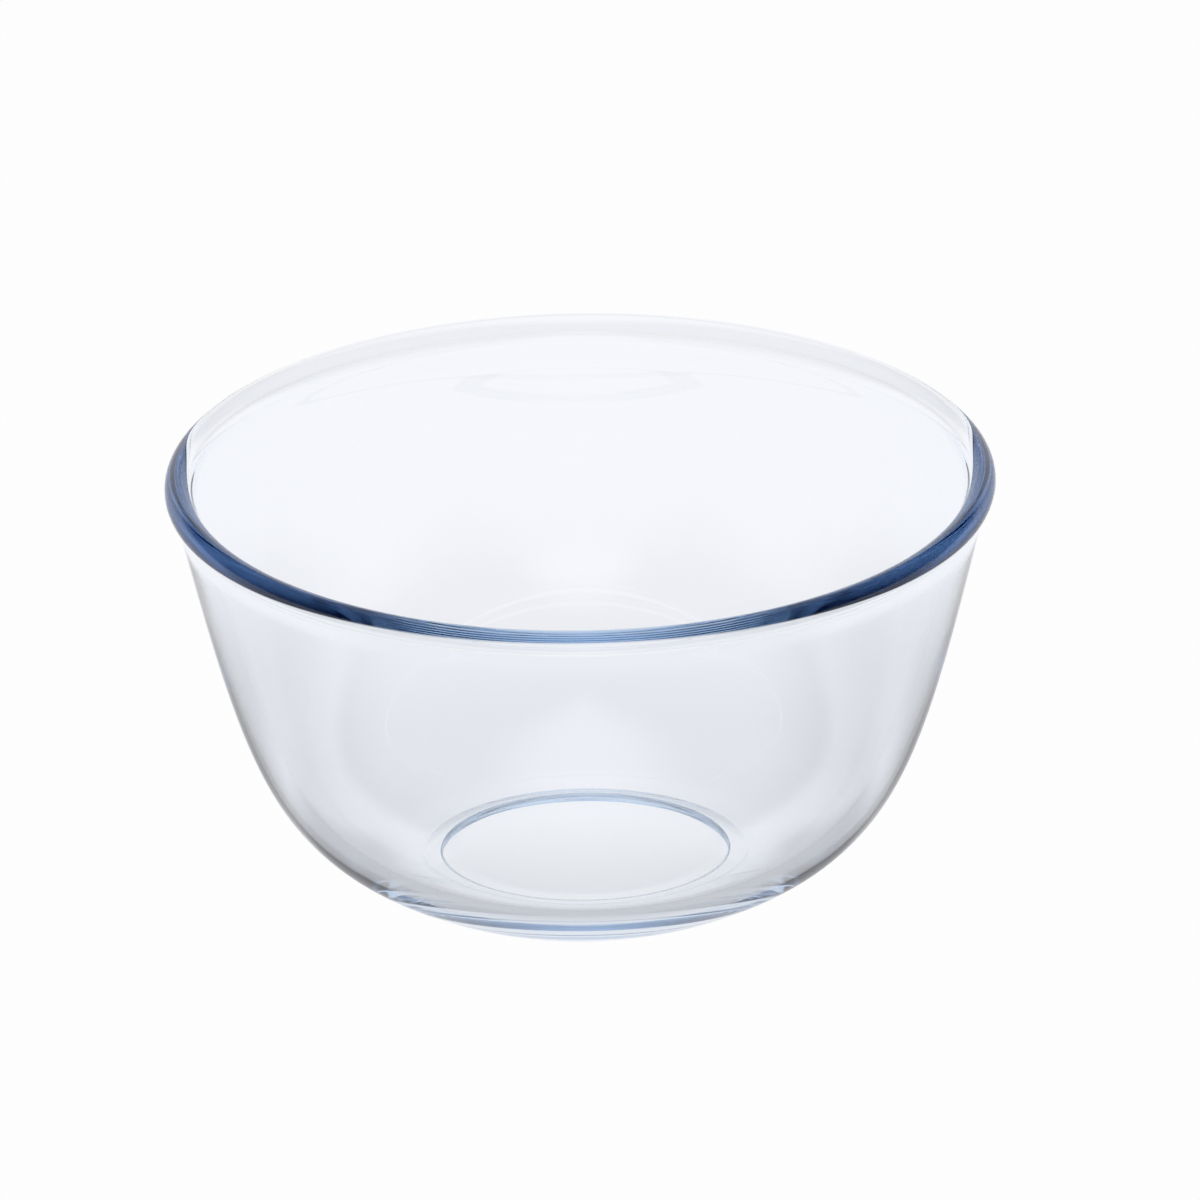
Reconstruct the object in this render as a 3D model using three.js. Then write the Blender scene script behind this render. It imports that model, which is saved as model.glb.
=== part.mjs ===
// Pressed glass mixing bowl, in millimetres, +Z up.
// The bowl is one piece of glass: a single section turned about Z.
// The origin is the centre of the circle that the foot stands on.
import * as THREE from "three";

const degrees = THREE.MathUtils.degToRad;

// Overall size
const RIM_DIAMETER = 170;
const HEIGHT = 90;

// Rolled rim: a rounded bead that stands out over a short neck and slopes into the wall on its inside
const BEAD_WIDTH = 5.4;
const BEAD_HEIGHT = 5.0;
const BEAD_OVERHANG = 2.0;
const BEAD_UNDERSIDE = degrees(-60);
const BEAD_INSIDE = degrees(150);
const NECK_HEIGHT = 1.0;
const SHOULDER_DROP = 10.3;

// Side wall: its lean under the rim, its rise off the foot, and how far each end runs nearly straight
const WALL_LEAN = degrees(13.1);
const HEEL_RISE = degrees(24.4);
const SIDE_RUN = 63.9;
const HEEL_RUN = 33.0;
const WALL_AT_RIM = 4.4;
const WALL_AT_HEEL = 5.6;

// Base: a low foot ring round a steep-sided hollow, and a flat floor inside that curves up into the wall
const FOOT_DIAMETER = 70.4;
const FOOT_RING_WIDTH = 4.2;
const FOOT_ROUND = 0.6;
const HOLLOW_DEPTH = 2.2;
const HOLLOW_FLANK = 0.3;
const HOLLOW_ROUND = 0.2;
const FLOOR_THICKNESS = 2.6;
const FLOOR_CURVE_RISE = 3;

// Share of the gap between two curves that each end of the blend across it runs straight
const BLEND_ROUNDNESS = 0.42;

// Facets
const SECTORS = 64;
const WALL_STEPS = 14;
const BEAD_STEPS = 24;
const BLEND_STEPS = 4;
const EDGE_STEPS = 3;
const HALVINGS = 40;

const at = (radius, height) => new THREE.Vector2(radius, height);
const along = (point, direction, distance) => point.clone().addScaledVector(direction, distance);

const rimRadius = RIM_DIAMETER / 2;
const footRadius = FOOT_DIAMETER / 2;
const ringInside = footRadius - FOOT_RING_WIDTH;
const floorHeight = HOLLOW_DEPTH + FLOOR_THICKNESS;

const heelward = at(Math.cos(HEEL_RISE), Math.sin(HEEL_RISE));
const rimward = at(Math.sin(WALL_LEAN), Math.cos(WALL_LEAN));

// A smooth bridge from one point to another that leaves and arrives in the given directions
function blend(start, leaving, end, arriving) {
  const reach = BLEND_ROUNDNESS * start.distanceTo(end);
  return new THREE.CubicBezierCurve(start, along(start, leaving, reach), along(end, arriving, -reach), end);
}

// A rounded corner that starts and ends a given length from the tip where two straight lines meet
function corner(before, tip, after, length) {
  const start = along(tip, before.clone().sub(tip).normalize(), length);
  const end = along(tip, after.clone().sub(tip).normalize(), length);
  return new THREE.QuadraticBezierCurve(start, tip, end);
}

// Outside of the wall, from the foot up to the neck
const footEdge = at(footRadius, 0);
const neck = at(rimRadius - BEAD_OVERHANG, HEIGHT - BEAD_HEIGHT - NECK_HEIGHT);
const outside = new THREE.CubicBezierCurve(
  footEdge,
  along(footEdge, heelward, HEEL_RUN),
  along(neck, rimward, -SIDE_RUN),
  neck,
);

// Inside of the wall: the outside set in by the thickness of the glass, for t from the foot to the neck
function inside(t) {
  const tangent = outside.getTangent(t);
  const inward = at(-tangent.y, tangent.x);
  return along(outside.getPoint(t), inward, THREE.MathUtils.lerp(WALL_AT_HEEL, WALL_AT_RIM, t));
}

// Where the inside of the wall is at a given height
function insideAtHeight(height) {
  let below = 0;
  let above = 1;
  for (let i = 0; i < HALVINGS; i += 1) {
    const middle = (below + above) / 2;
    if (inside(middle).y < height) {
      below = middle;
    } else {
      above = middle;
    }
  }
  return above;
}

// Rolled rim: bead, neck outside and shoulder inside
const bead = new THREE.EllipseCurve(
  rimRadius - BEAD_WIDTH / 2,
  HEIGHT - BEAD_HEIGHT / 2,
  BEAD_WIDTH / 2,
  BEAD_HEIGHT / 2,
  BEAD_UNDERSIDE,
  BEAD_INSIDE,
);
const neckBlend = blend(neck, rimward, bead.getPoint(0), bead.getTangent(0));
const shoulderFoot = insideAtHeight(HEIGHT - SHOULDER_DROP);
const falling = outside.getTangent(shoulderFoot).negate();
const shoulder = blend(bead.getPoint(1), bead.getTangent(1), inside(shoulderFoot), falling);

// Floor: the wall curves into it, with equal tangents on both sides of the corner that it rounds off
const curveTop = insideAtHeight(floorHeight + FLOOR_CURVE_RISE);
const curveStart = inside(curveTop);
const wallSlope = outside.getTangent(curveTop);
const tangentLength = FLOOR_CURVE_RISE / wallSlope.y;
const floorMiddle = at(0, floorHeight);
const floorCorner = along(curveStart, wallSlope, -tangentLength);
const floorCurve = corner(curveStart, floorCorner, floorMiddle, tangentLength);

// Foot: the edges of the hollow and the rounded outer edge of the ring, from which the wall rises
const hollowMiddle = at(0, HOLLOW_DEPTH);
const hollowEdge = at(ringInside - HOLLOW_FLANK, HOLLOW_DEPTH);
const ringEdge = at(ringInside, 0);
const hollowRound = corner(hollowMiddle, hollowEdge, ringEdge, HOLLOW_ROUND);
const ringRound = corner(hollowEdge, ringEdge, footEdge, HOLLOW_ROUND);
const footRound = corner(ringEdge, footEdge, along(footEdge, heelward, HEEL_RUN), FOOT_ROUND);

// The section, from the axis under the bowl, out over the rim and back to the axis on the floor
function section() {
  const points = [
    hollowMiddle,
    ...hollowRound.getPoints(EDGE_STEPS),
    ...ringRound.getPoints(EDGE_STEPS),
    ...footRound.getPoints(EDGE_STEPS),
    ...outside.getPoints(WALL_STEPS).slice(1),
    ...neckBlend.getPoints(BLEND_STEPS).slice(1),
    ...bead.getPoints(BEAD_STEPS).slice(1),
    ...shoulder.getPoints(BLEND_STEPS).slice(1),
  ];
  for (let i = 1; i < WALL_STEPS; i += 1) {
    points.push(inside(THREE.MathUtils.lerp(shoulderFoot, curveTop, i / WALL_STEPS)));
  }
  points.push(...floorCurve.getPoints(BLEND_STEPS), floorMiddle);
  return points;
}

function makeBowl() {
  const glass = new THREE.MeshStandardMaterial({
    color: 0xdfe9f5,
    roughness: 0.03,
    metalness: 0,
    transparent: true,
    opacity: 0.35,
  });
  const geometry = new THREE.LatheGeometry(section(), SECTORS);
  geometry.rotateX(Math.PI / 2);
  const bowl = new THREE.Mesh(geometry, glass);
  bowl.name = "bowl";
  return bowl;
}

const part = new THREE.Group();
part.add(makeBowl());

export default part;
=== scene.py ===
# Clear pressed-glass mixing bowl on a white studio table, seen from the front and a little above.
import math

import bmesh
import bpy
from mathutils import Matrix, Vector


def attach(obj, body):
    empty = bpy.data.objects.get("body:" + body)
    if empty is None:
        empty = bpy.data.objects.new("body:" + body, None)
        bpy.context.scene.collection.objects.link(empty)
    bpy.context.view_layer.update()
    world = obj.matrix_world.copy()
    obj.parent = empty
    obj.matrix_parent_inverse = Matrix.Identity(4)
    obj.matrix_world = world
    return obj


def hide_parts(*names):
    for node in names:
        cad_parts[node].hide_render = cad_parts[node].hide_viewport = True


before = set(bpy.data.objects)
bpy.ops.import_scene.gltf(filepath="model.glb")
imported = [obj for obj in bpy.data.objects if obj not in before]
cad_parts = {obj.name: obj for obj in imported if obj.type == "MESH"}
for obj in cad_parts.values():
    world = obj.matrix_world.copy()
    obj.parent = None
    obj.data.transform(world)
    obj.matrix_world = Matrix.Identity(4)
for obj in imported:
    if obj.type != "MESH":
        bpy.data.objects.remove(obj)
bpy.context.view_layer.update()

scene = bpy.context.scene

MM = 0.001
WHITE = (1.0, 1.0, 1.0, 1.0)

# Sizes of the bowl in millimetres
RIM_DIAMETER = 170
HEIGHT = 90
BEAD_WIDTH = 5.4
BEAD_HEIGHT = 5.0
BEAD_OVERHANG = 2.0
BEAD_UNDERSIDE = math.radians(-60)
BEAD_INSIDE = math.radians(150)
NECK_HEIGHT = 1.0
SHOULDER_DROP = 10.3
WALL_LEAN = math.radians(13.1)
HEEL_RISE = math.radians(24.4)
SIDE_RUN = 63.9
HEEL_RUN = 33.0
WALL_AT_RIM = 4.4
WALL_AT_HEEL = 5.6
FOOT_DIAMETER = 70.4
FOOT_RING_WIDTH = 4.2
FOOT_ROUND = 0.6
HOLLOW_DEPTH = 2.2
HOLLOW_FLANK = 0.3
HOLLOW_ROUND = 0.2
FLOOR_THICKNESS = 2.6
FLOOR_CURVE_RISE = 3
BLEND_ROUNDNESS = 0.42

# Steps round the bowl and along each stretch of its section
SECTORS = 320
WALL_STEPS = 72
BEAD_STEPS = 48
BLEND_STEPS = 16
EDGE_STEPS = 6
HALVINGS = 40

# Distance of the points that hold a rounded corner's two lines straight, in corner lengths
HOLD = 1.3


def at(radius, height):
    return Vector((radius, height))


def bezier(controls, t):
    """Point at t on the Bezier curve with these control points."""
    points = list(controls)
    while len(points) > 1:
        points = [a.lerp(b, t) for a, b in zip(points, points[1:])]
    return points[0]


def tangent(controls, t):
    """Unit direction at t on the Bezier curve."""
    steps = [b - a for a, b in zip(controls, controls[1:])]
    return bezier(steps, t).normalized()


def blend(start, leaving, end, arriving):
    """Control points of a smooth bridge that leaves and arrives in the given directions."""
    reach = BLEND_ROUNDNESS * (end - start).length
    return [start, start + leaving * reach, end - arriving * reach, end]


def stretch(controls, steps, skip=0):
    return [bezier(controls, i / steps) for i in range(skip, steps + 1)]


def corner(before, tip, after, length):
    """Points of a rounded corner, with one more on each of the two lines to hold them straight."""
    back = (before - tip).normalized() * length
    onward = (after - tip).normalized() * length
    bend = stretch([tip + back, tip, tip + onward], EDGE_STEPS)
    return [tip + back * HOLD] + bend + [tip + onward * HOLD]


def section():
    """The bowl's section: from the axis under it, out over the rim and back to the axis."""
    rim_radius = RIM_DIAMETER / 2
    foot_radius = FOOT_DIAMETER / 2
    ring_inside = foot_radius - FOOT_RING_WIDTH
    floor_height = HOLLOW_DEPTH + FLOOR_THICKNESS
    heelward = at(math.cos(HEEL_RISE), math.sin(HEEL_RISE))
    rimward = at(math.sin(WALL_LEAN), math.cos(WALL_LEAN))

    foot_edge = at(foot_radius, 0)
    neck = at(rim_radius - BEAD_OVERHANG, HEIGHT - BEAD_HEIGHT - NECK_HEIGHT)
    outside = [foot_edge, foot_edge + heelward * HEEL_RUN, neck - rimward * SIDE_RUN, neck]

    def inside(t):
        run = tangent(outside, t)
        thickness = WALL_AT_HEEL + (WALL_AT_RIM - WALL_AT_HEEL) * t
        return bezier(outside, t) + at(-run.y, run.x) * thickness

    def inside_at(height):
        below, above = 0.0, 1.0
        for _ in range(HALVINGS):
            middle = (below + above) / 2
            if inside(middle).y < height:
                below = middle
            else:
                above = middle
        return above

    half_width, half_height = BEAD_WIDTH / 2, BEAD_HEIGHT / 2
    bead_centre = at(rim_radius - half_width, HEIGHT - half_height)

    def bead(angle):
        return bead_centre + at(half_width * math.cos(angle), half_height * math.sin(angle))

    def bead_run(angle):
        return at(-half_width * math.sin(angle), half_height * math.cos(angle)).normalized()

    hollow_neck = blend(neck, rimward, bead(BEAD_UNDERSIDE), bead_run(BEAD_UNDERSIDE))
    shoulder_foot = inside_at(HEIGHT - SHOULDER_DROP)
    falling = -tangent(outside, shoulder_foot)
    shoulder = blend(bead(BEAD_INSIDE), bead_run(BEAD_INSIDE), inside(shoulder_foot), falling)

    curve_top = inside_at(floor_height + FLOOR_CURVE_RISE)
    curve_start = inside(curve_top)
    wall_slope = tangent(outside, curve_top)
    corner_length = FLOOR_CURVE_RISE / wall_slope.y
    floor_corner = curve_start - wall_slope * corner_length
    floor_edge = at(floor_corner.x - corner_length, floor_height)

    hollow_middle = at(0, HOLLOW_DEPTH)
    hollow_edge = at(ring_inside - HOLLOW_FLANK, HOLLOW_DEPTH)
    ring_edge = at(ring_inside, 0)

    points = [hollow_middle]
    points += corner(hollow_middle, hollow_edge, ring_edge, HOLLOW_ROUND)
    points += corner(hollow_edge, ring_edge, foot_edge, HOLLOW_ROUND)
    points += corner(ring_edge, foot_edge, foot_edge + heelward, FOOT_ROUND)
    points += stretch(outside, WALL_STEPS, 1)
    points += stretch(hollow_neck, BLEND_STEPS, 1)
    for i in range(1, BEAD_STEPS + 1):
        points.append(bead(BEAD_UNDERSIDE + (BEAD_INSIDE - BEAD_UNDERSIDE) * i / BEAD_STEPS))
    points += stretch(shoulder, BLEND_STEPS, 1)
    for i in range(1, WALL_STEPS):
        points.append(inside(shoulder_foot + (curve_top - shoulder_foot) * i / WALL_STEPS))
    points += stretch([curve_start, floor_corner, floor_edge], BLEND_STEPS)
    points.append(at(0, floor_height))
    return points


def turned(name, points):
    """A closed solid turned about Z from a section in millimetres, with both ends on the axis."""
    mesh = bpy.data.meshes.new(name)
    bm = bmesh.new()
    rings = []
    for point in points:
        if point.x == 0:
            rings.append([bm.verts.new((0, 0, point.y * MM))] * SECTORS)
            continue
        radius, height = point.x * MM, point.y * MM
        ring = []
        for i in range(SECTORS):
            angle = 2 * math.pi * i / SECTORS
            place = (radius * math.cos(angle), radius * math.sin(angle), height)
            ring.append(bm.verts.new(place))
        rings.append(ring)
    for lower, upper in zip(rings, rings[1:]):
        for i in range(SECTORS):
            j = (i + 1) % SECTORS
            corners = []
            for vert in (lower[i], lower[j], upper[j], upper[i]):
                if vert not in corners:
                    corners.append(vert)
            bm.faces.new(corners)
    bmesh.ops.recalc_face_normals(bm, faces=bm.faces)
    for face in bm.faces:
        face.smooth = True
    bm.to_mesh(mesh)
    bm.free()
    piece = bpy.data.objects.new(name, mesh)
    scene.collection.objects.link(piece)
    return piece


class Nodes:
    """Short calls for building a node tree."""

    def __init__(self, tree):
        self.tree = tree
        tree.nodes.clear()

    def add(self, kind, values=None, **settings):
        node = self.tree.nodes.new("ShaderNode" + kind)
        for key, value in settings.items():
            setattr(node, key, value)
        for key, value in (values or {}).items():
            self.put(node.inputs[key], value)
        return node

    def put(self, socket, value):
        if isinstance(value, bpy.types.NodeSocket):
            self.tree.links.new(value, socket)
        else:
            socket.default_value = value

    def math(self, operation, first, second=0.0):
        return self.add("Math", {0: first, 1: second}, operation=operation).outputs[0]

    def between(self, value, low, high, low_out=0.0, high_out=1.0):
        """Smooth step from low_out at low to high_out at high."""
        ends = {"From Min": low, "From Max": high, "To Min": low_out, "To Max": high_out}
        node = self.add("MapRange", {"Value": value, **ends}, interpolation_type="SMOOTHSTEP")
        return node.outputs["Result"]

    def noise(self, place, scale, detail):
        node = self.add("TexNoise", {"Vector": place, "Scale": scale, "Detail": detail})
        return node.outputs[0]

    def mix(self, share, first, second):
        node = self.add("Mix", {0: share, 6: first, 7: second}, data_type="RGBA")
        return node.outputs[2]


# Glass: colour that its thickness takes on, and the slight unevenness of a fire-polished surface
GLASS_IOR = 1.5
GLASS_TINT = (0.13, 0.46, 0.80, 1.0)
GLASS_DEPTH = 6.8
RIPPLE_SCALE = 38.0
RIPPLE_DETAIL = 1.0
RIPPLE_STRENGTH = 0.05
RIPPLE_HEIGHT = 0.0004
HAZE_SCALE = 90.0
HAZE_DETAIL = 3.0
HAZE_PATCHES = (0.35, 0.75)
HAZE_ROUGHNESS = 0.012


def clear_glass():
    material = bpy.data.materials.new("clear_glass")
    material.use_nodes = True
    nodes = Nodes(material.node_tree)
    place = nodes.add("TexCoord").outputs["Object"]
    bump = nodes.add("Bump", {
        "Height": nodes.noise(place, RIPPLE_SCALE, RIPPLE_DETAIL),
        "Strength": RIPPLE_STRENGTH,
        "Distance": RIPPLE_HEIGHT,
    })
    haze = nodes.noise(place, HAZE_SCALE, HAZE_DETAIL)
    glass = nodes.add("BsdfPrincipled", {
        "Base Color": WHITE,
        "Transmission Weight": 1.0,
        "IOR": GLASS_IOR,
        "Roughness": nodes.between(haze, *HAZE_PATCHES, 0.0, HAZE_ROUGHNESS),
        "Normal": bump.outputs[0],
    })
    body = nodes.add("VolumeAbsorption", {"Color": GLASS_TINT, "Density": GLASS_DEPTH})
    nodes.add("OutputMaterial", {"Surface": glass.outputs[0], "Volume": body.outputs[0]})
    return material


bowl = turned("glass_bowl", section())
bowl.data.materials.append(clear_glass())
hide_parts("bowl")
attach(bowl, "root")

# White table, in metres: plain white to the eye, a little cooler through the glass
TABLE_HALF = 6.0
TABLE_DROP = 0.0003
TABLE_COLOUR = (0.963, 0.969, 1.0, 1.0)
TABLE_TONES = (0.84, 0.88)
TABLE_SEEN = 0.98
GRAIN_SCALE = 600.0
GRAIN_DETAIL = 2.0
GRAIN_PATCHES = (0.3, 0.7)

# Painted shade on the table, seen only through the glass: painted shade under and near the bowl, a
# painted shadow in a ring round the foot that is deepest in front, and painted shade at both flanks
# behind
NEAR_LIGHT = 0.97
NEAR_REACH = (0.0704, 0.160)
RING_INSIDE = (0.038, 0.050)
RING_OUTSIDE = (0.075, 0.120)
RING_TURN = (0.012, -0.010)
RING_BEHIND = 0.045
RING_FRONT = 0.34
FLANK_SHIFT = 0.003
FLANK_RISE = (0.038, 0.080)
FLANK_FADE = (0.11, 0.20)
FLANK_TURN = (-0.01, 0.045)
FLANK_DEPTH = 0.25


def table_material():
    material = bpy.data.materials.new("white_table")
    material.use_nodes = True
    nodes = Nodes(material.node_tree)
    place = nodes.add("TexCoord").outputs["Object"]
    grain = nodes.noise(place, GRAIN_SCALE, GRAIN_DETAIL)
    tone = nodes.between(grain, *GRAIN_PATCHES, *TABLE_TONES)
    white = nodes.add("BsdfDiffuse", {"Color": tone})
    away = nodes.add("VectorMath", {0: place}, operation="LENGTH").outputs["Value"]
    across = nodes.add("SeparateXYZ", {0: place}).outputs
    # Painted shade and painted shadow: the table's glow dims by position near the bowl, in a ring
    # round the foot and at both flanks behind
    near = nodes.between(away, *NEAR_REACH, NEAR_LIGHT, 1.0)
    inner = nodes.between(away, *RING_INSIDE)
    outer = nodes.between(away, *RING_OUTSIDE, 1.0, 0.0)
    depth = nodes.between(across["Y"], *RING_TURN, RING_BEHIND, RING_FRONT)
    ring = nodes.math("MULTIPLY", nodes.math("MULTIPLY", inner, outer), depth)
    aside = nodes.math("ABSOLUTE", nodes.math("ADD", across["X"], FLANK_SHIFT))
    flank = nodes.between(aside, *FLANK_RISE, 0.0, FLANK_DEPTH)
    flank = nodes.math("MULTIPLY", flank, nodes.between(away, *FLANK_FADE, 1.0, 0.0))
    flank = nodes.math("MULTIPLY", flank, nodes.between(across["Y"], *FLANK_TURN))
    painted_shade = nodes.math("SUBTRACT", nodes.math("SUBTRACT", near, ring), flank)
    path = nodes.add("LightPath").outputs
    eye = path["Is Camera Ray"]
    colour = nodes.mix(eye, TABLE_COLOUR, WHITE)
    # Camera rays see the table plain white; glossy and transmission rays see the glow with the
    # painted shade
    glow = nodes.add("Emission", {"Color": colour, "Strength": nodes.math("MAXIMUM", eye, painted_shade)})
    through = nodes.math("MAXIMUM", path["Is Glossy Ray"], path["Is Transmission Ray"])
    seen = nodes.math("MULTIPLY", nodes.math("MAXIMUM", eye, through), TABLE_SEEN)
    mixed = nodes.add("MixShader", {0: seen, 1: white.outputs[0], 2: glow.outputs[0]})
    nodes.add("OutputMaterial", {"Surface": mixed.outputs[0]})
    return material


def table():
    mesh = bpy.data.meshes.new("table")
    sides = ((-1, -1), (1, -1), (1, 1), (-1, 1))
    corners = [(x * TABLE_HALF, y * TABLE_HALF, -TABLE_DROP) for x, y in sides]
    mesh.from_pydata(corners, [], [(0, 1, 2, 3)])
    mesh.materials.append(table_material())
    top = bpy.data.objects.new("table", mesh)
    scene.collection.objects.link(top)


table()

# Studio, in parts of a unit direction: a low white wall that is higher at the back and lower
# at the sides, a dark room above it, a white strip in front and a white panel overhead
WALL_FADE = (0.08, 0.28)
WALL_RISE = 0.3
SIDE_REACH = (0.3, 0.7)
SIDE_DIP = 0.05
ROOM_NAVY = (0.001, 0.005, 0.02, 1.0)
STRIP_REACH = (0.88, 0.98)
STRIP_HEIGHT = (0.1, 0.25)
PANEL_FADE = (0.7, 1.0)
PANEL_NARROW = 0.7
PANEL_LEAN = 0.35


def studio():
    world = bpy.data.worlds.new("studio")
    world.use_nodes = True
    scene.world = world
    nodes = Nodes(world.node_tree)
    direction = nodes.add("TexCoord").outputs["Generated"]
    parts = nodes.add("SeparateXYZ", {0: direction}).outputs
    height = parts["Z"]
    behind = nodes.math("MAXIMUM", parts["Y"], 0.0)
    sideways = nodes.math("ABSOLUTE", parts["X"])
    beside = nodes.between(sideways, *SIDE_REACH, 0.0, SIDE_DIP)
    above_wall = nodes.math("SUBTRACT", height, nodes.math("MULTIPLY", behind, WALL_RISE))
    above_wall = nodes.math("ADD", above_wall, beside)
    front = nodes.math("MULTIPLY", parts["Y"], -1.0)
    raised = nodes.between(height, *STRIP_HEIGHT)
    strip = nodes.math("MULTIPLY", nodes.between(front, *STRIP_REACH), raised)
    room = nodes.mix(strip, ROOM_NAVY, WHITE)
    colour = nodes.mix(nodes.between(above_wall, *WALL_FADE), WHITE, room)
    over = nodes.math("SUBTRACT", height, nodes.math("MULTIPLY", sideways, PANEL_NARROW))
    over = nodes.math("SUBTRACT", over, nodes.math("MULTIPLY", front, PANEL_LEAN))
    colour = nodes.mix(nodes.between(over, *PANEL_FADE), colour, WHITE)
    light = nodes.add("Background", {"Color": colour, "Strength": 1.0})
    nodes.add("OutputWorld", {"Surface": light.outputs[0]})


studio()

# Camera: a long lens four metres away, looking down at the bowl, turned a little about its own axis
CAMERA_DISTANCE = 4.0
CAMERA_PITCH = math.radians(23.79)
CAMERA_ROLL = math.radians(0.85)
IMAGE = 1200
FOCAL_PIXELS = 19479.4
TARGET_HEIGHT = 0.045
TARGET_PIXEL = (582.9, 671.4)
SENSOR = 36.0
CLIP_START = 0.01
CLIP_END = 100.0


def camera():
    data = bpy.data.cameras.new("camera")
    data.sensor_width = SENSOR
    data.lens = FOCAL_PIXELS * SENSOR / IMAGE
    data.clip_start = CLIP_START
    data.clip_end = CLIP_END
    data.shift_x = (IMAGE / 2 - TARGET_PIXEL[0]) / IMAGE
    data.shift_y = (TARGET_PIXEL[1] - IMAGE / 2) / IMAGE
    back = Vector((0, -math.cos(CAMERA_PITCH), math.sin(CAMERA_PITCH)))
    right = Vector((1, 0, 0))
    up = back.cross(right)
    turned_right = right * math.cos(CAMERA_ROLL) - up * math.sin(CAMERA_ROLL)
    turned_up = up * math.cos(CAMERA_ROLL) + right * math.sin(CAMERA_ROLL)
    placed = Matrix((turned_right, turned_up, back)).transposed().to_4x4()
    placed.translation = Vector((0, 0, TARGET_HEIGHT)) + back * CAMERA_DISTANCE
    eye = bpy.data.objects.new("camera", data)
    eye.matrix_world = placed
    scene.collection.objects.link(eye)
    scene.camera = eye


camera()

# Light crosses the glass many times in the rim before it leaves
GLASS_BOUNCES = 64
scene.cycles.max_bounces = GLASS_BOUNCES
scene.cycles.transmission_bounces = GLASS_BOUNCES
scene.cycles.glossy_bounces = GLASS_BOUNCES
scene.view_settings.view_transform = "Standard"
